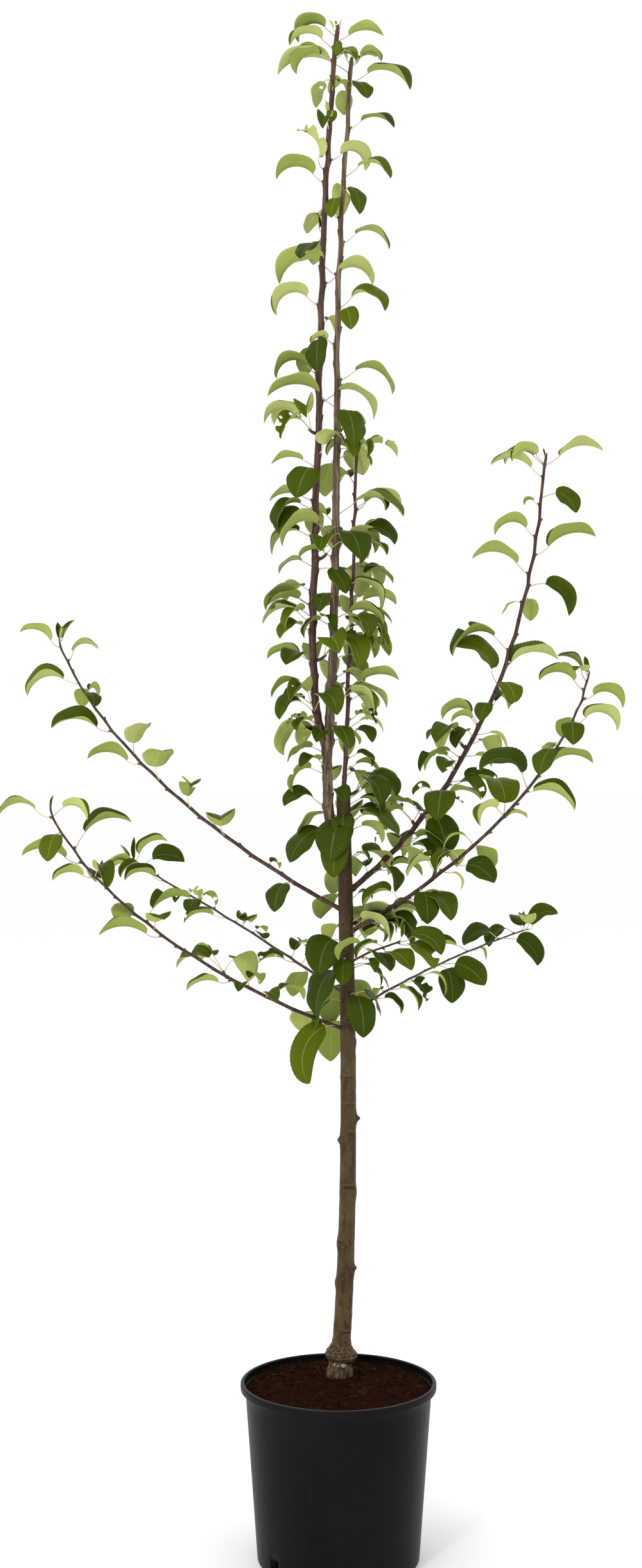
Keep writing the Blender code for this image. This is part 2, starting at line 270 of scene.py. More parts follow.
# Points along a limb: the lean from the vertical eases from foot to tip, with a slow sway, in one
# upright plane, and the heading is summed up along the length.
def limbLine(limb, count=241):
    s = np.linspace(0, 1, count)
    leanFoot, leanTip = limb["lean"]
    sway, waves, phase = limb["sway"]
    lean = leanTip + (leanFoot - leanTip) * (1 - s) ** limb["ease"]
    lean = np.radians(lean + sway * np.sin(tau * (waves * s + phase)))
    azimuth = math.radians(limb["azimuth"])
    heading = np.stack([np.sin(lean) * math.cos(azimuth), np.sin(lean) * math.sin(azimuth),
                        np.cos(lean)], 1)
    foot = np.array(stemFoot)
    if limb["parent"]:
        parent = lines[limb["parent"]]
        foot = np.array([np.interp(limb["height"], parent[:, 2], parent[:, i]) for i in range(3)])
    return walked(foot, heading, limb["length"] / (count - 1))


for limbName in limbs:
    lines[limbName] = limbLine(limbs[limbName])


# The place, heading, outward and sideways directions at fractions of a limb's length
def onLimb(name, s):
    line = lines[name]
    s = np.atleast_1d(np.asarray(s, float))
    at = np.linspace(0, 1, len(line))
    headings = unit(np.gradient(line, axis=0))
    place = np.stack([np.interp(s, at, line[:, i]) for i in range(3)], 1)
    heading = unit(np.stack([np.interp(s, at, headings[:, i]) for i in range(3)], 1))
    azimuth = math.radians(limbs[name]["azimuth"])
    across = np.broadcast_to(np.array([-math.sin(azimuth), math.cos(azimuth), 0.0]), place.shape)
    outward = np.cross(across, heading)
    return place, heading, outward, across


stem = dict(unionHeight=0.028, unionSwell=0.0085, unionSpread=0.017, flare=0.0042,
            flareSpread=0.012, settle=0.0016, settleSpread=0.120, shaftRadius=0.0105,
            nubRadius=0.010, graftRadius=0.0148)


def limbRadius(name, s):
    foot, tip = limbs[name]["radius"]
    radius = tip + (foot - tip) * (1 - s) ** limbs[name]["taper"]
    if name == "trunk":
        height = s * limbs[name]["length"]
        radius = radius + stem["flare"] * np.exp(-height / stem["flareSpread"])
        radius = radius + stem["settle"] * np.exp(-height / stem["settleSpread"])
        swell = stem["unionSwell"] * np.exp(-((height - stem["unionHeight"]) / stem["unionSpread"]) ** 2)
        radius = radius + swell
    else:
        height = s * limbs[name]["length"]
        radius = radius + 0.35 * foot * np.exp(-height / (3.0 * foot))
    return radius


# Leaves, limb by limb: the fraction of the limb's length where each stands, the bearing it grows
# towards in degrees (0 right, 90 back, 180 left, 270 front), its blade's length in millimetres, and
# a letter where it differs: h hanging, l level, c level and close to the wood, s sickle, f flat,
# n narrow and curled, r ragged, w broad and open, y young and upright. The slope it sets out at and
# how far it is turned about its midrib may follow, in degrees. Below the fraction `broad` the
# unlettered leaves are broad and open, above it folded.
foliage = {
    "leader_back": dict(seed=21, broad=0.34, leaves=[
        (1.0, 100, 15, "y"), (0.995, 200, 13, "y"), (0.999, 300, 11, "y"), (0.990, 178, 52, "", 44, 12),
        (0.984, 5, 50, "l", 36, -10), (0.978, 275, 22, "h", -30, 30), (0.964, 330, 24, "f"),
        (0.972, 200, 53), (0.96, 35, 34), (0.955, 170, 50), (0.925, 60, 30),
        (0.93, 140, 38, "h", -20, 0), (0.915, 275, 28), (0.878, 250, 17, "y"), (0.862, 250, 42),
        (0.885, 275, 20, "h", -25, 0), (0.806, 180, 56, "r", 105, 10), (0.820, 8, 50),
        (0.789, 178, 60), (0.722, 140, 26, "y"), (0.748, 130, 34, "h", -10, 0),
        (0.712, 115, 34, "h", -25, 0), (0.697, 238, 44, "h", 0, 0), (0.65, 12, 62), (0.62, 175, 62),
        (0.595, 60, 34), (0.570, 262, 50, "h", -30, 25), (0.563, 122, 44, "h", -15, 0),
        (0.526, 190, 56), (0.487, 2, 76, "w", 40, 10), (0.44, 350, 34, "c", 20, 10),
        (0.415, 300, 48, "f", 72, 0), (0.398, 178, 46, "l", 28, 0),
        (0.392, 245, 58, "h", -15, -10), (0.372, 120, 44), (0.35, 178, 46, "l"),
        (0.335, 95, 40, "h", -10, 0), (0.338, 205, 56), (0.315, 50, 44, "h", -10, -10), (0.30, 180, 56),
        (0.322, 200, 48, "w", 30, -30), (0.28, 350, 50), (0.26, 185, 40), (0.255, 335, 44, "h", -15, 30),
        (0.207, 178, 54), (0.225, 150, 44), (0.205, 215, 52, "f"), (0.19, 230, 48),
        (0.185, 310, 34), (0.182, 180, 58), (0.170, 215, 42), (0.14, 100, 44),
        (0.130, 185, 48, "l"), (0.127, 240, 50, "f"), (0.092, 182, 48), (0.085, 225, 50, "f"),
        (0.07, 170, 34, "r"), (0.045, 190, 34, "r"), (0.04, 215, 36), (0.03, 120, 42)],
        spurs=[(0.444, 196, 4), (0.27, 330, 3), (0.13, 350, 4), (0.055, 240, 3)]),
    "leader_front": dict(seed=22, broad=0.38, leaves=[
        (1.0, 345, 34, "", 50, 10), (0.998, 200, 20, "y"), (0.995, 30, 34, "r", 60, 0),
        (0.985, 180, 78, "l", 26, -10), (0.971, 352, 72, "w", 34, 20), (0.965, 130, 34),
        (0.965, 300, 40, "h", 0, 0), (0.966, 108, 34, "h", -30, 20), (0.913, 350, 52, "w", 42, 15),
        (0.854, 352, 54, "w", 46, 15), (0.835, 305, 44, "h", -25, 0), (0.822, 235, 34, "h", -20, 0),
        (0.848, 100, 46, "h", -30, 50), (0.80, 185, 24), (0.769, 3, 58, "w", 46, 10),
        (0.728, 180, 76, "w", 48, 10), (0.688, 345, 60, "w", 50, 25), (0.682, 300, 38, "h", -15, 30),
        (0.64, 200, 32), (0.596, 0, 70, "w", 38, 10), (0.564, 180, 78, "w", 52, 0),
        (0.556, 300, 58, "h", -25, 0), (0.54, 20, 32), (0.51, 45, 50, "h", -5, -30),
        (0.525, 335, 32, "h", -20, 25), (0.500, 15, 40, "r"), (0.405, 195, 68, "w", 36, 15),
        (0.495, 110, 50, "h", -25, 0), (0.430, 350, 76, "w", 40, 10), (0.42, 120, 50),
        (0.40, 300, 60, "h", 0, 0), (0.395, 20, 50), (0.375, 200, 40), (0.352, 50, 60),
        (0.335, 0, 66, "w", 26, 10), (0.325, 240, 38, "h", 0, 0), (0.30, 0, 54, "l", 24, 0),
        (0.29, 200, 40), (0.249, 40, 46, "h", 0, -15), (0.235, 90, 42), (0.225, 20, 38),
        (0.16, 300, 46, "h", 0, 0),
        (0.15, 250, 34), (0.145, 20, 34), (0.105, 195, 50, "w", 20, 20), (0.115, 230, 40),
        (0.13, 190, 44, "f"), (0.10, 90, 42), (0.08, 300, 32), (0.065, 195, 48)],
        spurs=[(0.275, 350, 4), (0.19, 10, 4), (0.14, 120, 3)]),
    "leader_thin": dict(seed=23, broad=0.75, leaves=[
        (1.0, 60, 24, "y"), (1.0, 0, 46, "r"), (0.985, 200, 40), (0.99, 300, 40), (0.97, 80, 60),
        (0.90, 120, 44), (0.83, 0, 52), (0.82, 330, 44), (0.745, 345, 50, "w", 30, 40), (0.745, 200, 40),
        (0.75, 10, 36, "l", 40, 0), (0.70, 320, 44), (0.64, 60, 50), (0.62, 5, 48),
        (0.545, 8, 52, "l"), (0.55, 90, 44), (0.52, 180, 34), (0.50, 8, 50, "n"), (0.485, 0, 48),
        (0.455, 340, 42, "r"), (0.44, 80, 42), (0.42, 20, 36), (0.305, 350, 54, "l"),
        (0.30, 120, 42), (0.27, 20, 36, "r"), (0.21, 330, 38, "r"), (0.19, 20, 42, "n"),
        (0.17, 330, 34), (0.14, 90, 36), (0.10, 350, 32), (0.07, 10, 36), (0.05, 60, 40)],
        spurs=[(0.40, 50, 3)]),
    "trunk": dict(seed=31, broad=1.10, leaves=[
        (0.985, 5, 60), (0.975, 350, 50), (0.96, 334, 62, "h"), (0.952, 268, 40, "h", 0, 0),
        (0.955, 170, 52, "h", 5, 10), (0.945, 5, 44, "r"), (0.948, 256, 66, "h", -15, 0),
        (0.93, 0, 40), (0.914, 254, 56, "h", -20, 0), (0.925, 190, 64, "h", 0, -20), (0.885, 340, 24),
        (0.88, 20, 60), (0.855, 105, 50, "h", 0, 0), (0.815, 125, 52, "h", -10, 0),
        (0.815, 350, 24), (0.79, 60, 66, "h"), (0.78, 20, 60), (0.775, 345, 60), (0.775, 352, 60, "n"),
        (0.765, 320, 60), (0.74, 235, 62, "f", 0, -25), (0.712, 262, 40, "h"), (0.70, 350, 50, "h"),
        (0.695, 350, 44, "n"), (0.67, 70, 60, "h", -20, 0), (0.692, 226, 70, "h", -15, 0),
        (0.66, 110, 52, "h"), (0.652, 298, 60, "h", -30, 0), (0.65, 20, 44, "h"), (0.64, 215, 50, "h"),
        (0.662, 122, 60, "h", -35, 0), (0.602, 120, 62, "h", -35, 0), (0.594, 212, 98, "s", -14, -64)],
        spurs=[(0.992, 10, 4), (0.93, 60, 2), (0.73, 60, 3)]),
    "bough_left_high": dict(seed=11, broad=0.30, leaves=[
        (1.0, 100, 26, "y"), (1.0, 60, 34, "y"), (0.998, 300, 24, "y"), (0.985, 187, 50, "l", 62, 0),
        (0.945, 8, 42, "w", 78, 0), (0.885, 180, 64), (0.868, 95, 34, "h", -10, 0),
        (0.85, 60, 28), (0.842, 300, 32, "h", 0, 0), (0.735, 190, 70, "l", 42, -25),
        (0.655, 300, 52, "f", 80, 0), (0.625, 185, 60, "l", 46, 0), (0.565, 285, 54, "f", 78, 0),
        (0.46, 290, 54, "r", 75, 0), (0.35, 275, 58, "f", 72, 0), (0.22, 60, 24, "r"),
        (0.145, 235, 46, "h", -10, 0)], spurs=[]),
    "bough_left_middle": dict(seed=12, broad=0.50, leaves=[
        (1.0, 90, 36, "y"), (1.0, 180, 28, "y"), (0.99, 15, 52, "l", 70, 0), (0.97, 200, 40),
        (0.96, 170, 46), (0.95, 340, 54, "l", 30, 50), (0.91, 215, 44), (0.83, 190, 50),
        (0.72, 60, 34, "r"), (0.71, 250, 30, "r"), (0.68, 30, 30, "r"), (0.535, 190, 48, "l", 30, 0),
        (0.66, 262, 34, "h", 10, 0), (0.50, 70, 28), (0.47, 80, 38, "f", 50, 0), (0.42, 40, 22),
        (0.36, 110, 28, "f", 60, 0), (0.25, 60, 46, "r", 60, 0), (0.22, 185, 50, "r"),
        (0.20, 20, 44), (0.175, 120, 46, "h", -10, 0)], spurs=[]),
    "bough_left_low": dict(seed=13, broad=0.50, leaves=[
        (0.975, 192, 66, "w", 54, 0), (1.0, 90, 16, "y"), (0.935, 250, 42, "h", -10, 0),
        (0.98, 350, 42), (0.885, 20, 66, "l", 52, 0), (0.845, 190, 60, "l", 46, 0),
        (0.80, 200, 44, "l", 34, 0), (0.80, 295, 50), (0.76, 100, 48), (0.69, 95, 42, "h", -10, 0),
        (0.625, 30, 60, "l", 46, 0), (0.60, 290, 42, "f", 70, 0), (0.570, 190, 66, "l", 38, 0),
        (0.352, 200, 46, "l", 24, 0), (0.32, 250, 26), (0.30, 60, 44, "r"), (0.25, 290, 32),
        (0.22, 30, 44), (0.11, 95, 46, "h", 0, 0)], spurs=[(0.365, 120, 3)]),
    "bough_right_high": dict(seed=14, broad=0.42, leaves=[
        (1.0, 100, 12, "y"), (0.983, 182, 50), (0.985, 200, 46), (0.985, 5, 66, "l", 46, 0),
        (0.958, 183, 62, "l", 48, 0), (0.918, 350, 44, "f", 10, 55), (0.902, 170, 18),
        (0.837, 190, 54), (0.80, 5, 74, "l", 50, 0), (0.76, 180, 70, "l", 52, 0),
        (0.736, 332, 64, "l", -8, 56), (0.712, 70, 36, "h", -20, 0), (0.700, 165, 26, "h", -10, 0),
        (0.600, 190, 78, "w", 44, -10), (0.572, 20, 76, "c", 50, 0), (0.53, 182, 68, "w", 88, -35),
        (0.522, 300, 34, "f", 0, 0), (0.526, 290, 46, "h", 0, 0), (0.478, 250, 36, "h", 0, 0),
        (0.48, 60, 46), (0.44, 150, 50), (0.435, 200, 34), (0.42, 10, 44, "n"), (0.41, 230, 40),
        (0.40, 40, 44), (0.37, 0, 30, "r"), (0.36, 170, 50), (0.345, 190, 50, "r"), (0.33, 240, 40),
        (0.31, 20, 60, "r"), (0.30, 340, 44), (0.275, 262, 64, "h", 0, 0), (0.27, 180, 28),
        (0.27, 345, 48), (0.25, 330, 34, "r"), (0.225, 300, 60, "h", -20, 20), (0.22, 160, 50, "r"),
        (0.18, 0, 40, "n"), (0.17, 10, 46, "n"), (0.16, 170, 40, "n"), (0.15, 350, 60),
        (0.145, 80, 62), (0.14, 330, 54), (0.08, 0, 50), (0.07, 310, 50), (0.06, 120, 56)],
        spurs=[(0.385, 180, 3), (0.20, 120, 3)]),
    "bough_right_middle": dict(seed=15, broad=0.50, leaves=[
        (1.0, 90, 24, "y"), (0.985, 175, 40, "w", 88, 0), (0.995, 235, 28, "f", 60, 0),
        (0.936, 0, 48), (0.960, 185, 52, "", 56, 0), (0.866, 355, 56), (0.875, 110, 34, "h", -10, 0),
        (0.87, 265, 40, "h", 0, 0), (0.79, 240, 44, "h", -10, 0), (0.80, 120, 26, "h", 0, 0),
        (0.745, 12, 60, "c", 46, 0), (0.665, 178, 68, "w", 80, -30), (0.655, 350, 64, "c", 22, 15),
        (0.56, 20, 32, "c"), (0.565, 205, 46), (0.562, 110, 62, "f", 95, 0),
        (0.445, 50, 40, "h", -10, 0), (0.45, 190, 44, "n"), (0.378, 330, 48, "f", 16, 40),
        (0.395, 200, 44), (0.34, 350, 30, "n"), (0.335, 185, 44), (0.255, 285, 50, "h", -10, 0),
        (0.24, 335, 54, "f"), (0.21, 0, 50), (0.185, 170, 50), (0.12, 20, 50), (0.10, 70, 66),
        (0.09, 345, 54), (0.08, 350, 56)], spurs=[(0.30, 90, 2)]),
    "bough_right_short": dict(seed=16, broad=1.10, leaves=[
        (1.0, 350, 54), (0.95, 320, 54, "f"), (0.97, 80, 26, "y"), (0.75, 200, 40), (0.55, 284, 50, "f"),
        (0.50, 160, 44), (0.30, 300, 30), (0.70, 300, 50, "f", 25, 10)], spurs=[]),
    "bough_right_low": dict(seed=17, broad=1.10, leaves=[
        (1.0, 10, 48, "w", 88, 30), (1.0, 90, 26, "y"), (0.985, 250, 38, "f", 80, 0),
        (0.985, 100, 40, "h", 60, 0), (0.93, 205, 42, "f"), (0.84, 195, 48, "f", 35, -35),
        (0.86, 332, 54, "l", -5, 48), (0.70, 60, 34, "n"), (0.50, 330, 56, "h", 5, 45),
        (0.66, 190, 48, "l", 20, -20), (0.475, 303, 52, "h", -25, 15), (0.37, 345, 46, "n"),
        (0.29, 320, 42, "r"), (0.22, 330, 46), (0.20, 120, 24), (0.14, 0, 36)], spurs=[]),
}


# Nodes of a shoot: its leaves' own, and bare ones between where the gap is wide
growth = dict(goldenAngle=137.5, spacing=0.030, knuckle=0.24, knuckleSpread=0.0032, kink=0.0011,
              closest=0.012)


def shootNodes(name):
    length = limbs[name]["length"]
    found = [leaf[:2] for leaf in foliage[name]["leaves"] + foliage[name]["spurs"] if leaf[0] < 0.99]
    found = sorted(found + [(0.02, 0.0), (0.985, 180.0)])
    nodes = []
    for (s, bearing), (following, _) in zip(found, found[1:]):
        if not nodes or (s - nodes[-1][0]) * length > growth["closest"]:
            nodes.append((s, bearing))
        gaps = int((following - s) * length / growth["spacing"])
        for k in range(1, gaps + 1):
            between = s + (following - s) * k / (gaps + 1)
            nodes.append((between, (bearing + growth["goldenAngle"] * k) % 360))
    return [(s, math.radians(bearing)) for s, bearing in nodes]


# The kinked shoot: at each node it steps a little towards the side where the leaf stands
for limbName in limbs:
    if limbName != "trunk":
        s = np.linspace(0, 1, len(lines[limbName]))
        stops = shootNodes(limbName)
        kink = growth["kink"] * np.minimum(1, 40 * (1 - s)) * np.minimum(1, 20 * s)
        for axis, turn in ((0, math.cos), (1, math.sin)):
            shift = np.interp(s, [stop[0] for stop in stops], [turn(stop[1]) for stop in stops])
            lines[limbName][:, axis] += kink * shift


# Bark

barkLook = dict(stemSides=72, graftRows=130, graftHeight=0.070, stemRows=540, shootSides=16,
                rowsPerMetre=640)

# Nubs on the stem: height above the compost, way round, how far each stands out, half its height
nubs = [(0.347, 0, 0.0042, 0.0032), (0.347, 350, 0.0016, 0.009), (0.318, 186, 0.0030, 0.0035),
        (0.318, 190, 0.0012, 0.010), (0.248, 355, 0.0016, 0.010), (0.180, 190, 0.0018, 0.009),
        (0.146, 350, 0.0028, 0.0030), (0.143, 350, 0.0014, 0.008), (0.126, 178, 0.0020, 0.007),
        (0.402, 150, 0.0014, 0.004), (0.752, 10, 0.0034, 0.006), (0.470, 250, 0.0012, 0.006),
        (0.220, 100, 0.0016, 0.006), (0.450, 5, 0.0014, 0.006), (0.560, 60, 0.0016, 0.006),
        (0.300, 75, 0.0014, 0.005), (0.028, 350, 0.0022, 0.008), (0.030, 205, 0.0014, 0.008),
        (0.005, 310, 0.0030, 0.008), (0.004, 235, 0.0022, 0.007), (0.006, 60, 0.0024, 0.008)]
# Old cuts on the stem: height, way round, half width, and how far the ledge above each stands out
cuts = [(0.404, 268, 0.0095, 0.0006), (0.366, 275, 0.0120, 0.0002), (0.2565, 278, 0.0090, 0.0017),
        (0.329, 290, 0.0060, 0.0010), (0.183, 226, 0.0045, 0.0015), (0.146, 325, 0.0025, 0.0008),
        (0.062, 300, 0.0050, 0.0008), (0.520, 290, 0.0040, 0.0010), (0.610, 240, 0.0030, 0.0010),
        (0.500, 90, 0.0050, 0.0010), (0.290, 110, 0.0060, 0.0012), (0.200, 60, 0.0050, 0.0012)]
cutLook = dict(sag=0.0012, ledge=0.0016, drop=0.0024, groove=0.0010)
# The graft, as heights above the compost and radii: foot, neck, overhanging ring, shaft
graft = dict(outline=[(0.0, 0.0176), (0.007, 0.0166), (0.014, 0.0152), (0.0190, 0.0149),
                      (0.0225, 0.0186), (0.0270, 0.0202), (0.033, 0.0193), (0.038, 0.0158),
                      (0.044, 0.0131), (0.054, 0.0121), (0.070, 0.0121)],
             slant=0.0018, wound=(0.0185, 268, 0.0060), creases=0.0042, knobbly=0.048,
             ring=0.032, ringSpread=0.009)


# Smooth steps from one (place, value) point to the next
def eased(x, points):
    at, value = np.array(points).T
    k = np.clip(np.searchsorted(at, x) - 1, 0, len(at) - 2)
    t = np.clip((x - at[k]) / (at[k + 1] - at[k]), 0, 1)
    return value[k] + (value[k + 1] - value[k]) * t * t * (3 - 2 * t)


# How far round the stem each point is from a bearing in degrees, in radians
def apartFrom(around, degrees):
    return np.angle(np.exp(1j * (around - math.radians(degrees))))[None]


# The stem's radius: the shaft of the solid, the graft's own outline below, then lumps, nubs and cuts
def stemSurface(around, height):
    outline = graft["outline"]
    share = np.clip((height - outline[-2][0]) / (outline[-1][0] - outline[-2][0]), 0, 1)
    shaft = limbRadius("trunk", height / limbs["trunk"]["length"])
    tilted = height + graft["slant"] * np.cos(around)[None]
    radius = (1 - share) * eased(tilted, outline) + share * shaft
    spots = np.stack(np.broadcast_arrays(np.cos(around)[None], np.sin(around)[None], height * 9), -1)
    knobbly = np.exp(-(height / graft["knobbly"]) ** 2)
    radius = radius * (1 + 0.016 * lumps(spots, 2.2, 3) + 0.055 * knobbly * lumps(spots, 2.8, 5))
    fine = spots * np.array([1, 1, 14])
    radius = radius + 0.00018 * lumps(fine, 2.0, 8) + 0.0005 * knobbly * lumps(fine, 3.0, 9)
    ring = np.exp(-((height - graft["ring"]) / graft["ringSpread"]) ** 2)
    crease = np.sin(tau * height / graft["creases"] + 1.3 * lumps(spots, 1.6, 12))
    radius = radius + 0.00035 * ring * crease
    for level, way, stand, spread in nubs:
        radius = radius + stand * np.exp(-((height - level) / spread) ** 2
                                         - (apartFrom(around, way) * stem["nubRadius"] / spread) ** 2)
    for level, way, half, stand in cuts:
        sideways = apartFrom(around, way) * stem["shaftRadius"] / half
        wide = np.exp(-sideways ** 4)
        sagging = height - level + cutLook["sag"] * sideways ** 2
        radius = radius + stand * wide * np.exp(-(sagging / cutLook["ledge"]) ** 2)
        groove = np.exp(-((sagging + cutLook["drop"]) / cutLook["groove"]) ** 2)
        radius = radius - 0.8 * stand * wide * groove
    level, way, half = graft["wound"]
    sideways = apartFrom(around, way) * stem["graftRadius"] / half
    hurt = np.exp(-((height - level) / (0.55 * half)) ** 4 - sideways ** 4)
    chips = 0.5 + 0.5 * lumps(spots * np.array([1, 1, 9]), 5.0, 14)
    return radius - 0.0030 * hurt * (0.55 + 0.45 * chips)


# Bark as a tube along the limb: the radius swells at each node, and lumps run along the grain
def barkSurface(name, sides, s):
    limb = limbs[name]
    rows = len(s)
    place, _, outward, across = onLimb(name, s)
    around = turns(sides)
    height = s[:, None] * limb["length"]
    radius = limbRadius(name, s)[:, None] * np.ones((1, sides))
    if name == "trunk":
        outward, across = np.array([[1.0, 0, 0]]), np.array([[0, 1.0, 0]])
        radius = stemSurface(around, height)
    else:
        for at, bearing in shootNodes(name):
            k = int(at * (rows - 1))
            towards = np.array([math.cos(bearing), math.sin(bearing), 0.0])
            facing = outward[k] @ towards * np.cos(around) + across[k] @ towards * np.sin(around)
            gap = (height - at * limb["length"]) / growth["knuckleSpread"]
            near = np.exp(-np.where(gap > 0, gap * 1.7, gap * 0.7) ** 2)
            radius = radius * (1 + growth["knuckle"] * near * (0.35 + 0.65 * np.maximum(0, facing)[None]))
        radius = radius * (1 + 0.025 * np.sin(3 * around + 40 * s[:, None]))
    skin = place[:, None] + radius[..., None] * ringsRound(outward, across, around)
    uv = np.stack(np.broadcast_arrays(around[None] / tau, height), -1)
    return skin, uv.reshape(-1, 2), place


def makeBark(name, materials):
    trunk = name == "trunk"
    length = limbs[name]["length"]
    if trunk:
        sides = barkLook["stemSides"]
        s = np.concatenate([np.linspace(0, barkLook["graftHeight"], barkLook["graftRows"])[:-1],
                            np.linspace(barkLook["graftHeight"], length, barkLook["stemRows"])]) / length
    else:
        sides = barkLook["shootSides"]
        s = np.linspace(0, 1, int(length * barkLook["rowsPerMetre"]))
    rows = len(s)
    skin, uv, place = barkSurface(name, sides, s)
    if trunk:
        skin[0, :, 2] = stemFoot[2]
    heap = Heap()
    heap.add(skin, gridFaces(rows, sides, True), 0, uv)
    for end, ring in enumerate((skin[0], skin[-1])):
        middle = ring.mean(0)
        heading = unit(place[-1] - place[-3]) if end else unit(place[0] - place[2])
        rise = 0.0015 if end and not trunk else 0.0
        rings = np.stack([ring, middle + (ring - middle) * 0.6 + heading * rise * 0.7,
                          middle + (ring - middle) * 0.02 + heading * rise])
        faces = gridFaces(3, sides, True)
        heap.add(rings, faces if end else faces[:, ::-1], 1 if (trunk and end) else 0)
    slot = "trunk_bark" if trunk else "shoot_bark"
    heap.piece(name + "_bark", materials, slot, (name,))


def barkFinish():
    finish = Finish("olive bark", roughness=0.45, specular=0.10)
    place = finish.place()
    broad = finish.noise(place, 16.0, 4.0)
    patchy = finish.grained(place, (85, 85, 36), 5.0, 0.7)
    streak = finish.grained(place, (260, 260, 22), 4.0, 0.65)
    spots = finish.dots(finish.stretched(place, (105, 105, 300)), 1.0)
    lenticel = (1 - spots.ramp(0.10, 0.26)) * patchy.ramp(0.38, 0.56)
    around, height = (finish.node("ShaderNodeSeparateXYZ", Vector=finish.place("UV"), output=k)
                      for k in (0, 1))

    # An uneven band across the stem at one level and towards one bearing, fading at its edges
    def band(level, way, half, tall):
        across = (around - way / 360 + patchy * 0.06 - 0.03).size() * (tau * stem["shaftRadius"])
        apart = (height - level + patchy * 0.010 - 0.005).size()
        onLevel = (1 - apart.ramp(0.2 * tall, tall)) * patchy.ramp(0.25, 0.45)
        return onLevel * (1 - across.ramp(0.5 * half, half))

    # Painted shade: the stem is painted darker from 0.44 m up its length, fully so above 0.66 m, where it
    # runs up into the crown and the leaves shade it
    shaded = (height + broad * 0.1).ramp(0.44, 0.66) * 0.36
    foot = 1 - (height + patchy * 0.04).ramp(0.055, 0.095)
    olive = finish.mix(broad.ramp(0.40, 0.62), (0.082, 0.061, 0.022), (0.060, 0.036, 0.016))
    scorched = finish.mix(patchy.ramp(0.50, 0.60) * 0.85, olive, (0.040, 0.018, 0.008))
    streaked = finish.mix(streak.ramp(0.50, 0.72) * 0.55, scorched, (0.022, 0.014, 0.007))
    crownShadePainted = finish.mix(shaded, streaked, (0.026, 0.016, 0.010))
    speckled = finish.mix(lenticel * 0.40, crownShadePainted, (0.210, 0.165, 0.095))
    # Each old cut gets a pale tan band above its ledge and a dark line just under it. The dark line is
    # partly the scar's own dark colour and partly painted shade under the ledge, the darker the further the
    # ledge stands out.
    for level, way, half, stand in cuts:
        speckled = finish.mix(band(level + cutLook["drop"], way, half, cutLook["ledge"]) * 0.4, speckled,
                              (0.130, 0.092, 0.052))
        scarAndLedgeShade = min(0.9, 300 * stand + 0.25)
        speckled = finish.mix(band(level - 0.0004, way, half, 0.0030) * scarAndLedgeShade, speckled,
                              (0.018, 0.010, 0.005))
    old = finish.mix(streak.ramp(0.36, 0.62), (0.018, 0.010, 0.005), (0.135, 0.092, 0.046))
    flaked = finish.noise(place, 230.0, 4.0, 0.7)
    scaly = finish.mix(flaked.ramp(0.50, 0.58), old, (0.030, 0.014, 0.007))
    mossy = finish.mix(patchy.ramp(0.50, 0.62) * 0.55, scaly, (0.062, 0.052, 0.018))
    level, way, half = graft["wound"]
    hurt = band(level, way, 1.5 * half, 0.75 * half)
    torn = finish.mix(hurt.ramp(0.1, 0.5), mossy, (0.016, 0.009, 0.004))
    chips = finish.grained(place, (520, 520, 330), 2.0).ramp(0.46, 0.52)
    rough = finish.mix(hurt.ramp(0.3, 0.6) * chips, torn, (0.520, 0.400, 0.240))
    finish.colour(finish.mix(foot, speckled, rough))
    finish.bump(streak + lenticel * 0.6 + patchy * 0.8, 0.0008, 0.8)
    return finish.material


def woodFinish():
    finish = Finish("cut wood", roughness=0.8)
    grain = finish.noise(finish.place(), 160.0, 3.0)
    finish.colour(finish.mix(grain, (0.130, 0.092, 0.052), (0.050, 0.034, 0.020)))
    finish.bump(grain, 0.0004)
    return finish.material


def shootFinish(name, base, dark, pale):
    finish = Finish(name, roughness=0.34, specular=0.25)
    place = finish.place()
    broad = finish.noise(place, 30.0, 3.0)
    fine = finish.noise(place, 500.0, 2.0)
    # The pale streaks along the shoot are partly the bark's own pale flecks and partly a painted highlight,
    # standing in for the sheen along a lit shoot
    streak = finish.grained(place, (330, 330, 14), 3.0, 0.6)
    spots = finish.dots(place, 260.0)
    dot = 1 - spots.ramp(0.10, 0.20)
    body = finish.mix(broad.ramp(0.3, 0.7), base, dark)
    streaked = finish.mix(streak.ramp(0.48, 0.64) * 0.62, body, pale)
    finish.colour(finish.mix(dot * 0.4, streaked, pale))
    finish.bump(fine + dot + streak, 0.0003, 0.6)
    return finish.material


# Leaves

# Kinds of leaf: half width as a share of the length, how blunt its ends are, how far it arches over
# and how far its halves are folded up, how late it bends, the slopes it may set out at, in degrees,
# and its stalk as a share of its length
def leafKind(half, blunt, arch, fold, bend, rise, stalk=0.30):
    return dict(half=half, blunt=blunt, arch=arch, fold=fold, bend=bend, rise=rise, stalk=stalk)


leafKinds = {
    "": leafKind(0.36, 0.42, 128, 52, 0.90, (32, 56)),
    "w": leafKind(0.38, 0.46, 118, 34, 0.75, (16, 48)),
    "h": leafKind(0.37, 0.52, 70, 14, 0.60, (-20, 10)),
    "l": leafKind(0.34, 0.42, 82, 48, 1.00, (18, 38)),
    "c": leafKind(0.35, 0.42, 90, 44, 0.90, (20, 50), 0.06),
    "s": leafKind(0.175, 0.56, 138, 12, 1.15, (-10, 10), 0.24),
    "f": leafKind(0.39, 0.50, 90, 24, 0.65, (10, 36)),
    "n": leafKind(0.13, 0.30, 120, 66, 0.80, (0, 40)),
    "r": leafKind(0.34, 0.45, 96, 46, 0.85, (10, 46)),
    "y": leafKind(0.24, 0.30, 26, 62, 1.00, (62, 82), 0.17),
}
blade = dict(along=40, across=6, tooth=0.014, thickness=0.00035)


# Blade outline: half width against the way along, round at the foot, drawn out to a point at the tip
def bladeOutline(u, blunt):
    power = (1 - blunt) * (1 + 0.5 * u ** 3)
    return np.sin(np.pi * u ** 0.82) ** power + 0.02 * (1 - u)


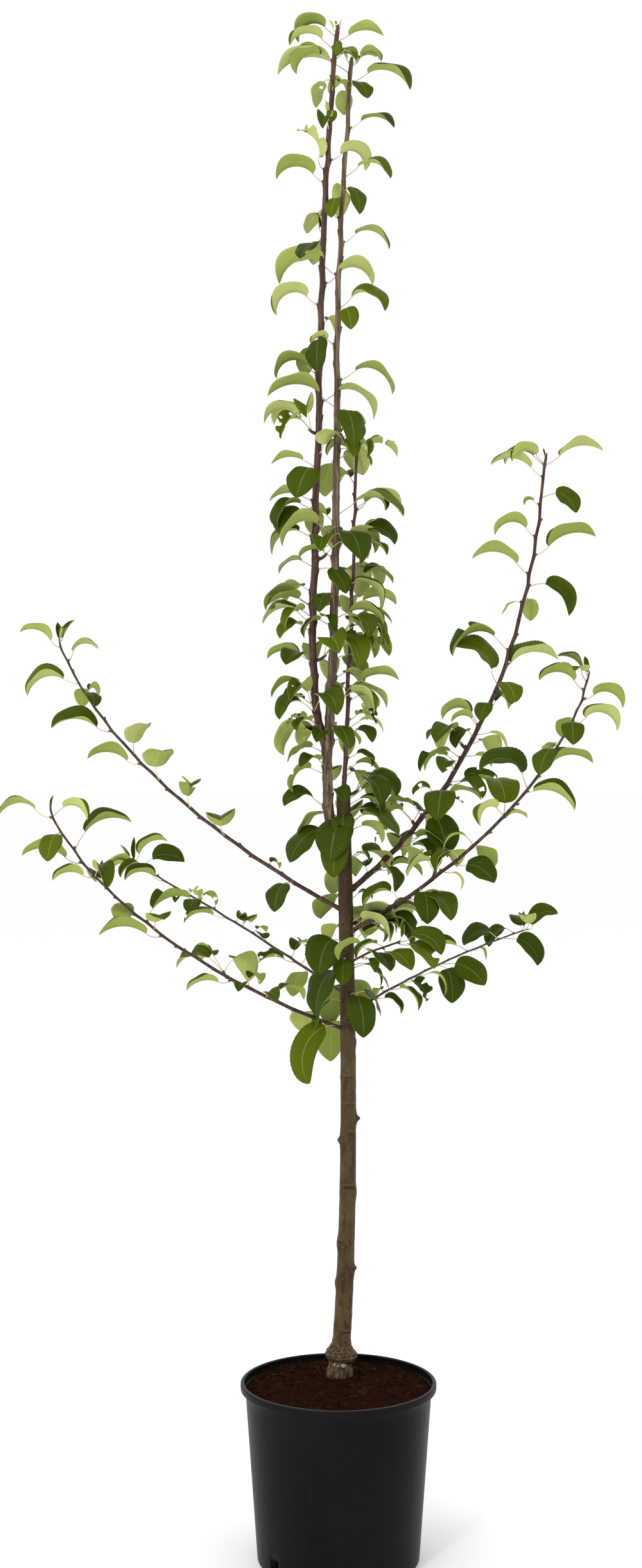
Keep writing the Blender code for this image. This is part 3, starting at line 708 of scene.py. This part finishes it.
# A leaf blade: the midrib leaves at `rise` and arches down, and each half is folded up from it.
# Points are midrib + across * v * width * cos(fold) + up * |v| * width * sin(fold), less a roll,
# plus a small wave along the edges.
def leafBlade(kind, length, start, bearing, rise, chance, heap, shade, turned=None):
    sizes = leafKinds[kind]
    half = length * sizes["half"] * chance.uniform(0.92, 1.08)
    arch = math.radians(sizes["arch"] * chance.uniform(0.82, 1.15))
    fold = math.radians(sizes["fold"] * chance.uniform(0.80, 1.18))
    along, across = blade["along"], blade["across"] * (2 if kind == "r" else 1)
    u = np.linspace(0, 1, along + 1)
    pitch = rise - arch * u ** sizes["bend"]
    level = np.array([math.cos(bearing), math.sin(bearing), 0.0])
    side = np.array([-level[1], level[0], 0.0])
    swing = chance.uniform(-0.40, 0.40)
    heading = unit(np.cos(pitch)[:, None] * (level + side * (swing * u)[:, None])
                   + np.sin(pitch)[:, None] * np.array([0, 0, 1.0]))
    rib = walked(start, heading, length / along)
    wide = unit(side - heading * (heading @ side)[:, None])
    up = np.cross(heading, wide)
    lean = chance.uniform(-0.38, 0.38) if turned is None else math.radians(turned)
    lean = lean + chance.uniform(-0.3, 0.3) * u[:, None]
    wide, up = wide * np.cos(lean) + up * np.sin(lean), up * np.cos(lean) - wide * np.sin(lean)
    v = np.linspace(-1, 1, across + 1)
    whole = np.ones((along + 1, 2))
    bites = chance.integers(3, 7) if kind == "r" else int(kind not in "hs" and chance.random() < 0.12)
    for _ in range(bites):
        hurt = chance.uniform(0.3, 0.9) * np.exp(-((u - chance.uniform(0.15, 0.95))
                                                 / chance.uniform(0.03, 0.10)) ** 4)
        whole[:, chance.integers(2)] *= 1 - hurt
    tooth = 1 + blade["tooth"] * np.where(np.arange(along + 1) % 2, 1, -1)[:, None] * (abs(v) == 1)
    width = half * bladeOutline(u, sizes["blunt"])[:, None] * tooth
    width = width * np.where(v < 0, whole[:, :1], whole[:, 1:])
    wave = 0.08 * width * np.sin(tau * (1.7 * u[:, None] + chance.uniform(0, 1))) * abs(v) ** 2
    spread = v * width * math.cos(fold)
    raised = np.abs(v) * width * math.sin(fold) - 0.20 * (v ** 2) * width + wave
    skin = rib[:, None] + wide[:, None] * spread[..., None] + up[:, None] * raised[..., None]
    uv = np.stack(np.broadcast_arrays(v[None] * 0.5 + 0.5, u[:, None]), -1).reshape(-1, 2)
    faces = gridFaces(along + 1, across + 1, False)[:, ::-1]
    for _ in range(chance.integers(1, 4) if kind == "r" else int(chance.random() < 0.10)):
        hole = skin[chance.integers(6, along - 4), chance.integers(1, across)]
        middles = skin.reshape(-1, 3)[faces].mean(1)
        faces = faces[np.linalg.norm(middles - hole, axis=1) > chance.uniform(0.0015, 0.0035)]
    heap.add(skin, faces, shade, uv)


# Two directions square to a heading
def frameRound(heading):
    helper = np.array([0.31, 0.22, 0.92]) if abs(heading[2]) < 0.8 else np.array([0.9, 0.3, 0.1])
    one = unit(np.cross(heading, helper))
    return one, np.cross(heading, one)


# A thin round stalk along a curve: it sets out one way, bends evenly to another, and is closed
def stalk(start, first, last, length, radii, heap, rows=8, sides=6, mark=0, knobs=0.0):
    u = np.linspace(0, 1, rows)[:, None]
    heading = unit(first * (1 - u) + last * u)
    path = walked(start, heading, length / (rows - 1))
    one, two = frameRound(heading[0])
    one = unit(one - heading * (heading @ one)[:, None])
    two = np.cross(heading, one)
    radius = (radii[0] + (radii[1] - radii[0]) * u) * (1 + knobs * np.cos(tau * u * rows / 3))
    skin = path[:, None] + ringsRound(one, two, turns(sides)) * radius[:, None]
    closed = np.concatenate([path[:1, None] + 0.02 * (skin[:1] - path[:1, None]), skin,
                             path[-1:, None] + 0.02 * (skin[-1:] - path[-1:, None])])
    heap.add(closed, gridFaces(rows + 2, sides, True), mark)
    return path[-1], heading[-1]


# A bud: a small pointed drop along a heading
def bud(start, heading, length, radius, heap):
    rows, sides = 7, 6
    u = np.linspace(0, 1, rows)
    width = radius * np.sin(np.pi * (0.12 + 0.88 * u)) ** 0.8 + 0.00002
    one, two = frameRound(heading)
    ring = ringsRound(one[None], two[None], turns(sides))
    skin = (start + heading * (u * length)[:, None])[:, None] + ring * width[:, None, None]
    heap.add(skin, gridFaces(rows, sides, True), 0)


# A point on a limb's bark on the side that faces a bearing, and the way out and along there
def limbPoint(name, s, bearing, depth=0.8):
    place, heading = (value[0] for value in onLimb(name, s)[:2])
    towards = np.array([math.cos(bearing), math.sin(bearing), 0.02])
    radial = unit(towards - heading * (towards @ heading))
    return place + radial * float(limbRadius(name, s)) * depth, radial, heading


# One leaf: its stalk leaves the wood and rises to the blade. `pose` may fix its slope and turn.
def growLeaf(kind, length, start, first, bearing, chance, heaps, shade, spur=False,
             pose=(None, None)):
    rise = chance.uniform(*leafKinds[kind]["rise"])
    rise = math.radians(rise if pose[0] is None else pose[0])
    last = np.array([math.cos(bearing) * math.cos(rise), math.sin(bearing) * math.cos(rise),
                     math.sin(rise)])
    reach = (0.42 if spur else leafKinds[kind]["stalk"]) * length + (0.008 if spur else 0.004)
    reach *= chance.uniform(0.85, 1.15)
    end, heading = stalk(start, first, last, reach, (0.0007, 0.00048), heaps["stalks"],
                         mark=int(spur or chance.random() < 0.25))
    leafBlade(kind, length, end - heading * 0.0006, bearing, rise, chance, heaps["leaves"], shade,
              pose[1])


def foliageHeaps():
    return {kind: Heap() for kind in ("leaves", "stalks", "twigs", "buds")}


def pickShade(height, chance):
    low = [0.50, 0.40, 0.10]
    high = [0.10, 0.35, 0.55]
    share = min(1.0, max(0.0, (height - 0.95) / 0.5))
    return chance.choice(3, p=[a + (b - a) * share for a, b in zip(low, high)])


# A spur: a short knobbly twig that ends in a rosette
def growSpur(name, s, bearing, count, chance, heaps):
    start, radial, heading = limbPoint(name, s, bearing, 0.7)
    tilt = unit(radial + np.array([0, 0, 0.9]))
    end, tip = stalk(start, radial, tilt, chance.uniform(0.007, 0.014), (0.0026, 0.0021),
                     heaps["twigs"], rows=12, sides=8, knobs=0.14)
    shade = pickShade(start[2], chance)
    for k in range(count):
        turn = bearing + math.radians(-70 + 140 * (k + 0.5) / count + chance.uniform(-18, 18))
        towards = np.array([math.cos(turn), math.sin(turn), 1.2])
        kind = "r" if chance.random() < 0.15 else ("w" if s < foliage[name]["broad"] else "")
        growLeaf(kind, chance.uniform(0.040, 0.062), end - tip * 0.001, unit(towards), turn, chance,
                 heaps, shade, True)
    bud(end - tip * 0.001, tip, 0.006, 0.0022, heaps["buds"])


# All that grows on one limb: buds at its nodes, leaves with a shade each, spurs with one for the spray
def growLimb(name):
    plan = foliage[name]
    chance = np.random.default_rng(plan["seed"])
    heaps = foliageHeaps()
    if name != "trunk":
        for s, bearing in shootNodes(name):
            if 0.04 < s < 0.985:
                start, radial, heading = limbPoint(name, s, bearing, 0.85)
                bud(start, unit(radial * 0.5 + heading), chance.uniform(0.004, 0.006), 0.0014,
                    heaps["buds"])
    for s, degrees, length, *more in plan["leaves"]:
        kind = more[0] if more else ("w" if s < plan["broad"] else "")
        pose = more[1:] or (None, None)
        bearing = math.radians(degrees + chance.uniform(-10, 10) * (len(more) < 2))
        start, radial, heading = limbPoint(name, min(s, 0.997), bearing, 0.9)
        growLeaf(kind, length / 1000, start, unit(radial + 0.6 * heading), bearing, chance, heaps,
                 pickShade(start[2], chance), pose=pose)
    for s, degrees, count in plan["spurs"]:
        growSpur(name, s, math.radians(degrees), count, chance, heaps)
    if name != "trunk":
        start, radial, heading = limbPoint(name, 1.0, 0.0, 0.0)
        bud(start - heading * 0.002, heading, 0.009, limbs[name]["radius"][1] * 0.9, heaps["buds"])
    return heaps


leafColours = dict(
    upper=[(0.034, 0.054, 0.0010), (0.050, 0.075, 0.0014), (0.080, 0.110, 0.0028)],
    under=[(0.270, 0.330, 0.070), (0.365, 0.420, 0.105), (0.450, 0.500, 0.160)],
)


# A leaf's face: a paler midrib and side veins drawn from the blade's own map, over a soft mottle
def leafFinish(name, base, upper):
    finish = Finish(name, roughness=0.34 if upper else 0.65, specular=0.05)
    surface = finish.place("UV")
    acrossWire = finish.node("ShaderNodeSeparateXYZ", Vector=surface, output=0)
    alongWire = finish.node("ShaderNodeSeparateXYZ", Vector=surface, output=1)
    apart = (acrossWire - 0.5).size()
    midrib = 1 - apart.ramp(0.010, 0.034)
    veins = ((alongWire - apart * 0.55) * 74.0).sine().ramp(0.80, 1.0) * apart.ramp(0.02, 0.06)
    mottle = finish.noise(finish.place(), 34.0, 2.0).ramp(0.3, 0.7)
    darker = tuple(value * 0.88 for value in base)
    lighter = tuple(min(1.0, value * 1.6 + 0.03) for value in base)
    body = finish.mix(mottle, darker, base)
    spots = finish.dots(finish.place(), 480.0)
    speck = (1 - spots.ramp(0.16, 0.34)) * mottle
    marked = finish.mix(veins * (0.16 if upper else 0.06) + speck * (0.50 if upper else 0.0), body, lighter)
    finish.colour(finish.mix(midrib * (0.90 if upper else 0.22), marked, lighter))
    finish.bump(1 - (veins + midrib) if upper else veins + midrib, 0.0003 if upper else 0.00015, 0.5)
    return finish.material


def plainFinish(name, first, second, roughness, scale):
    finish = Finish(name, roughness=roughness)
    grain = finish.noise(finish.place(), scale, 2.0)
    finish.colour(finish.mix(grain.ramp(0.3, 0.7), first, second))
    finish.bump(grain, 0.0002, 0.4)
    return finish.material


def massNodes(limbName):
    stemName = "leaves_" + limbName.replace("bough_", "")
    return [node for node in frame["nodes"] if node.rsplit("_", 1)[0] == stemName]


def makeFoliage(limbName, heaps, finishes):
    short = limbName.replace("bough_", "")
    leaves = heaps["leaves"].piece(short + "_leaves", finishes["upper"] + finishes["under"],
                                   "foliage", massNodes(limbName))
    thicken = leaves.modifiers.new("blade", "SOLIDIFY")
    thicken.thickness = blade["thickness"]
    thicken.offset = -1
    thicken.material_offset = len(finishes["upper"])
    thicken.material_offset_rim = len(finishes["upper"])
    heaps["stalks"].piece(short + "_leaf_stalks", finishes["stalks"], "foliage")
    if heaps["twigs"].total:
        heaps["twigs"].piece(short + "_spurs", [finishes["shoot"]], "shoot_bark")
    if heaps["buds"].total:
        heaps["buds"].piece(short + "_buds", [finishes["bud"]], "shoot_bark")


# The pot

potSizes = dict(height=float(potHigh[2]), rim=float(potHigh[0]), inner=0.1245, neck=0.1235,
                base=0.1076, wall=0.0018, lip=0.011, corner=0.006, around=180, slots=5,
                slotHeight=0.026, slotFirst=-140.0, slotHalfWidth=0.008, slotReach=0.011)


# The pot's outer profile as (radius, height): floor, rounded corner, straight wall, rolled lip
def potProfile():
    size = potSizes
    lipLow = size["height"] - size["lip"]
    turn = np.linspace(-np.pi / 2, 0, 7)
    floor = [(r, 0.0) for r in np.linspace(0.0005, size["base"] - size["slotReach"], 5)]
    floor.append((size["base"] - size["corner"], 0.0))
    corner = [(size["base"] - size["corner"] + size["corner"] * math.cos(a),
               size["corner"] + size["corner"] * math.sin(a)) for a in turn[1:]]
    heights = np.concatenate([np.linspace(0.012, size["slotHeight"], 3),
                              np.linspace(0.04, lipLow - 0.001, 16)])
    slope = (size["neck"] - size["base"]) / (lipLow - size["corner"])
    wall = [(size["base"] + slope * (z - size["corner"]), z) for z in heights]
    under = np.linspace(-np.pi / 2, 0, 5)
    bend = 0.0026
    lip = [(size["neck"] + 0.0006, lipLow), (size["rim"] - bend * 2, lipLow + 0.0002)]
    lip += [(size["rim"] - bend + bend * math.cos(a), lipLow + 0.0004 + bend + bend * math.sin(a))
            for a in under]
    over = np.linspace(0, np.pi / 2, 6)
    lip += [(size["rim"] - bend + bend * math.cos(a), size["height"] - bend + bend * math.sin(a))
            for a in over]
    lip += [(size["inner"] + 0.0016, size["height"]), (size["inner"] + 0.0004, size["height"] - 0.0007),
            (size["inner"], size["height"] - 0.0025)]
    return np.array(floor + corner + wall + lip)


def makePot(material):
    size = potSizes
    profile = potProfile()
    around = turns(size["around"])
    skin = np.stack([profile[:, :1] * np.cos(around), profile[:, :1] * np.sin(around),
                     np.broadcast_to(profile[:, 1:], (len(profile), len(around)))], -1)
    faces = gridFaces(len(profile), size["around"], True)
    points = skin.reshape(-1, 3)
    middles = points[faces].mean(1)
    bearing = np.degrees(np.arctan2(middles[:, 1], middles[:, 0]))
    between = 360 / size["slots"]
    apart = (bearing - size["slotFirst"] + between / 2) % between - between / 2
    reach = np.hypot(middles[:, 0], middles[:, 1])
    inSlot = (np.abs(np.radians(apart)) * size["base"] < size["slotHalfWidth"])
    inSlot &= (middles[:, 2] < size["slotHeight"]) & (reach > size["base"] - size["slotReach"])
    heap = Heap()
    heap.add(points, faces[~inSlot])
    pot = heap.piece("nursery_pot", [material], "pot_plastic", ("pot",))
    wall = pot.modifiers.new("wall", "SOLIDIFY")
    wall.thickness = size["wall"]
    wall.offset = -1


def potFinish():
    finish = Finish("black nursery plastic", roughness=0.38, specular=0.06)
    place = finish.place()
    cloud = finish.noise(place, 9.0, 4.0)
    grain = finish.noise(place, 1400.0, 2.0)
    dust = finish.grained(place, (60, 60, 14), 5.0, 0.7)
    height = finish.node("ShaderNodeSeparateXYZ", Vector=place, output=2)
    # Painted highlight: the top of the rolled rim is painted lighter grey, where it catches the light
    lip = height.ramp(potSizes["height"] - 0.0012, potSizes["height"] + 0.0002)
    body = finish.mix(cloud.ramp(0.35, 0.7), (0.0042, 0.0036, 0.0042), (0.0070, 0.0064, 0.0068))
    dusty = finish.mix(dust.ramp(0.58, 0.85) * 0.22, body, (0.024, 0.022, 0.020))
    finish.colour(finish.mix(lip * 0.6, dusty, (0.050, 0.050, 0.052)))
    finish.feed("Roughness", 0.34 + cloud * 0.12 + dust.ramp(0.55, 0.85) * 0.12)
    finish.bump(grain + cloud * 2.0, 0.00012, 0.5)
    return finish.material


# The compost

compost = dict(edge=0.2290, top=0.2308, flat=0.027, radius=0.1212, rings=60, around=200,
               crumbs=900, fibres=90)


# The mound: rings whose middle moves from the pot's axis to the stem while they shrink
def compostSurface(t, turn):
    middle = np.stack([stemFoot[0] * t, stemFoot[1] * t], -1)
    radius = compost["radius"] * (1 - t) + compost["flat"] * t
    height = compost["edge"] + (compost["top"] - compost["edge"]) * np.sin(0.5 * np.pi * t)
    return np.stack([middle[..., 0] + radius * np.cos(turn), middle[..., 1] + radius * np.sin(turn),
                     height], -1)


def roughCompost(points):
    rough = 0.0011 * lumps(points, 90, 41) + 0.0010 * lumps(points, 260, 42)
    rough = rough + 0.0006 * np.abs(lumps(points, 700, 43)) + 0.0004 * lumps(points, 1500, 44)
    return rough


def makeCompost(materials):
    t = np.linspace(0, 1, compost["rings"])[:, None]
    turn = turns(compost["around"])[None]
    t, turn = np.broadcast_arrays(t, turn)
    skin = compostSurface(t, turn)
    skin[..., 2] += roughCompost(skin) * np.minimum(1, 8 * t + 0.3)
    middle = skin[-1].mean(0)
    inner = middle + (skin[-1:] - middle) * np.array([0.75, 0.5, 0.25, 0.02])[:, None, None]
    inner[..., 2] = middle[2] + 0.5 * roughCompost(inner)
    skirt = skin[:1].copy()
    skirt[..., 2] -= 0.02
    rows = np.concatenate([skirt, skin, inner])
    heap = Heap()
    heap.add(rows, gridFaces(len(rows), compost["around"], True))
    heap.piece("compost_surface", [materials[0]], "compost", ("compost",))
    chance = np.random.default_rng(45)
    crumbs = Heap()
    ball = unit(np.array([(x, y, z) for x in (-1, 1) for y in (-1, 1) for z in (-1, 1)], float))
    box = np.array([(0, 1, 3, 2), (4, 6, 7, 5), (0, 4, 5, 1), (2, 3, 7, 6), (0, 2, 6, 4), (1, 5, 7, 3)])
    for _ in range(compost["crumbs"]):
        t, turn = 1 - chance.random() ** 0.6, chance.uniform(0, tau)
        spot = compostSurface(np.array(t), np.array(turn))
        size = chance.uniform(0.0006, 0.0028) * chance.uniform(0.5, 1.0)
        shape = ball * size * chance.uniform(0.5, 1.3, 3) * chance.uniform(0.7, 1.3, (8, 1))
        spin = np.linalg.qr(chance.normal(size=(3, 3)))[0]
        spin *= np.sign(np.linalg.det(spin))
        spot[2] += roughCompost(spot) + size * 0.2
        crumbs.add(spot + shape @ spin, box, chance.integers(2))
    crumbs.piece("compost_crumbs", materials[:2], "compost", smooth=False)
    fibres = Heap()
    for _ in range(compost["fibres"]):
        t, turn = 1 - chance.random() ** 0.6, chance.uniform(0, tau)
        spot = compostSurface(np.array(t), np.array(turn))
        spot[2] += roughCompost(spot) + 0.0004
        way = chance.uniform(0, tau)
        first = np.array([math.cos(way), math.sin(way), 0.05])
        way += chance.uniform(-1.2, 1.2)
        last = np.array([math.cos(way), math.sin(way), -0.05])
        stalk(spot, unit(first), unit(last), chance.uniform(0.003, 0.012), (0.00025, 0.00015),
              fibres, rows=5, sides=4)
    fibres.piece("compost_fibres", [materials[2]], "compost")


def compostFinish(name, first, second):
    finish = Finish(name, roughness=0.95, specular=0.015)
    place = finish.place()
    grain = finish.noise(place, 300.0, 5.0, 0.75)
    patch = finish.noise(place, 75.0, 4.0, 0.7)
    body = finish.mix(grain.ramp(0.35, 0.7), first, second)
    finish.colour(finish.mix(patch.ramp(0.45, 0.6) * 0.7, body, (0.0075, 0.0022, 0.0010)))
    finish.bump(grain, 0.0008, 0.8)
    return finish.material


# The camera, lights and floor

view = dict(distance=2.9, height=1.113, sideways=-0.0232, lens=50.11, shift=-0.0397)


def makeCamera():
    camera = bpy.data.cameras.new("camera")
    camera.lens = view["lens"]
    camera.sensor_width = 36.0
    camera.shift_y = view["shift"]
    obj = addObject("camera", camera)
    obj.location = (view["sideways"], -view["distance"], view["height"])
    obj.rotation_euler = (math.pi / 2, 0, 0)
    bpy.context.scene.camera = obj


def makeLight(name, place, target, size, power):
    light = bpy.data.lights.new(name, "AREA")
    light.shape = "RECTANGLE"
    light.size, light.size_y = size
    light.energy = power
    obj = addObject(name, light)
    away = np.array(target, float) - np.array(place, float)
    dip = math.atan2(-away[2], math.hypot(away[0], away[1]))
    obj.rotation_euler = (math.pi / 2 - dip, 0, math.atan2(away[1], away[0]) - math.pi / 2)
    obj.location = place


# A plain pale floor in a white room, with softboxes: name, place, size, power
softboxes = [("front softbox", (-1.3, -2.6, 1.3), (0.25, 1.2), 20),
             ("top softbox", (-0.9, -1.4, 3.4), (1.4, 1.4), 14),
             ("left softbox", (-2.2, -0.3, 1.5), (0.7, 2.4), 8),
             ("right softbox", (2.2, -0.3, 1.5), (0.7, 2.4), 8)]


def makeStudio():
    mesh = bpy.data.meshes.new("floor")
    mesh.from_pydata([(-30, -30, 0), (30, -30, 0), (30, 30, 0), (-30, 30, 0)], [], [(0, 1, 2, 3)])
    floor = addObject("floor", mesh)
    finish = Finish("pale floor", roughness=0.9, specular=0.0)
    finish.colour((0.99, 0.99, 0.99))
    mesh.materials.append(finish.material)
    world = bpy.data.worlds.new("studio")
    world.use_nodes = True
    world.node_tree.nodes["Background"].inputs["Color"].default_value = (1.0, 1.0, 1.0, 1.0)
    bpy.context.scene.world = world
    for name, place, size, power in softboxes:
        makeLight(name, place, (0, 0, 1.0), size, power)
    bpy.context.scene.view_settings.view_transform = "Standard"


makeCamera()
makeStudio()
print("camera and studio ready")

bark, cutWood = barkFinish(), woodFinish()
# The pale colours given to the shoot barks also carry the painted highlight along the shoots
oldShoot = shootFinish("brown shoot bark", (0.096, 0.058, 0.030), (0.038, 0.021, 0.012),
                       (0.310, 0.225, 0.145))
redShoot = shootFinish("red-brown shoot bark", (0.070, 0.027, 0.018), (0.036, 0.014, 0.010),
                       (0.150, 0.078, 0.056))
thinShoot = shootFinish("dark bough bark", (0.050, 0.021, 0.014), (0.025, 0.011, 0.008),
                        (0.120, 0.064, 0.046))
for limbName in limbs:
    if limbName == "trunk":
        makeBark(limbName, [bark, cutWood])
    elif limbName.startswith("bough"):
        makeBark(limbName, [thinShoot])
    else:
        makeBark(limbName, [oldShoot if limbName == "leader_front" else redShoot])
print("bark made")

finishes = dict(
    upper=[leafFinish("leaf face %d" % k, c, True) for k, c in enumerate(leafColours["upper"])],
    under=[leafFinish("leaf underside %d" % k, c, False) for k, c in enumerate(leafColours["under"])],
    stalks=[plainFinish("pinkish leaf stalk", (0.52, 0.40, 0.30), (0.42, 0.34, 0.22), 0.5, 60.0),
            plainFinish("green leaf stalk", (0.50, 0.54, 0.20), (0.60, 0.62, 0.30), 0.5, 60.0)],
    bud=plainFinish("bud scales", (0.060, 0.028, 0.020), (0.120, 0.070, 0.045), 0.55, 400.0),
    shoot=redShoot)
for limbName in foliage:
    makeFoliage(limbName, growLimb(limbName), finishes)
print("leaves grown")

makePot(potFinish())
makeCompost([compostFinish("compost", (0.0090, 0.0024, 0.0010), (0.030, 0.0085, 0.0030)),
             compostFinish("compost bark crumbs", (0.012, 0.0040, 0.0018), (0.042, 0.0150, 0.0065)),
             plainFinish("pale fibre", (0.050, 0.026, 0.014), (0.100, 0.060, 0.032), 0.8, 300.0)])
print("pot and compost made")
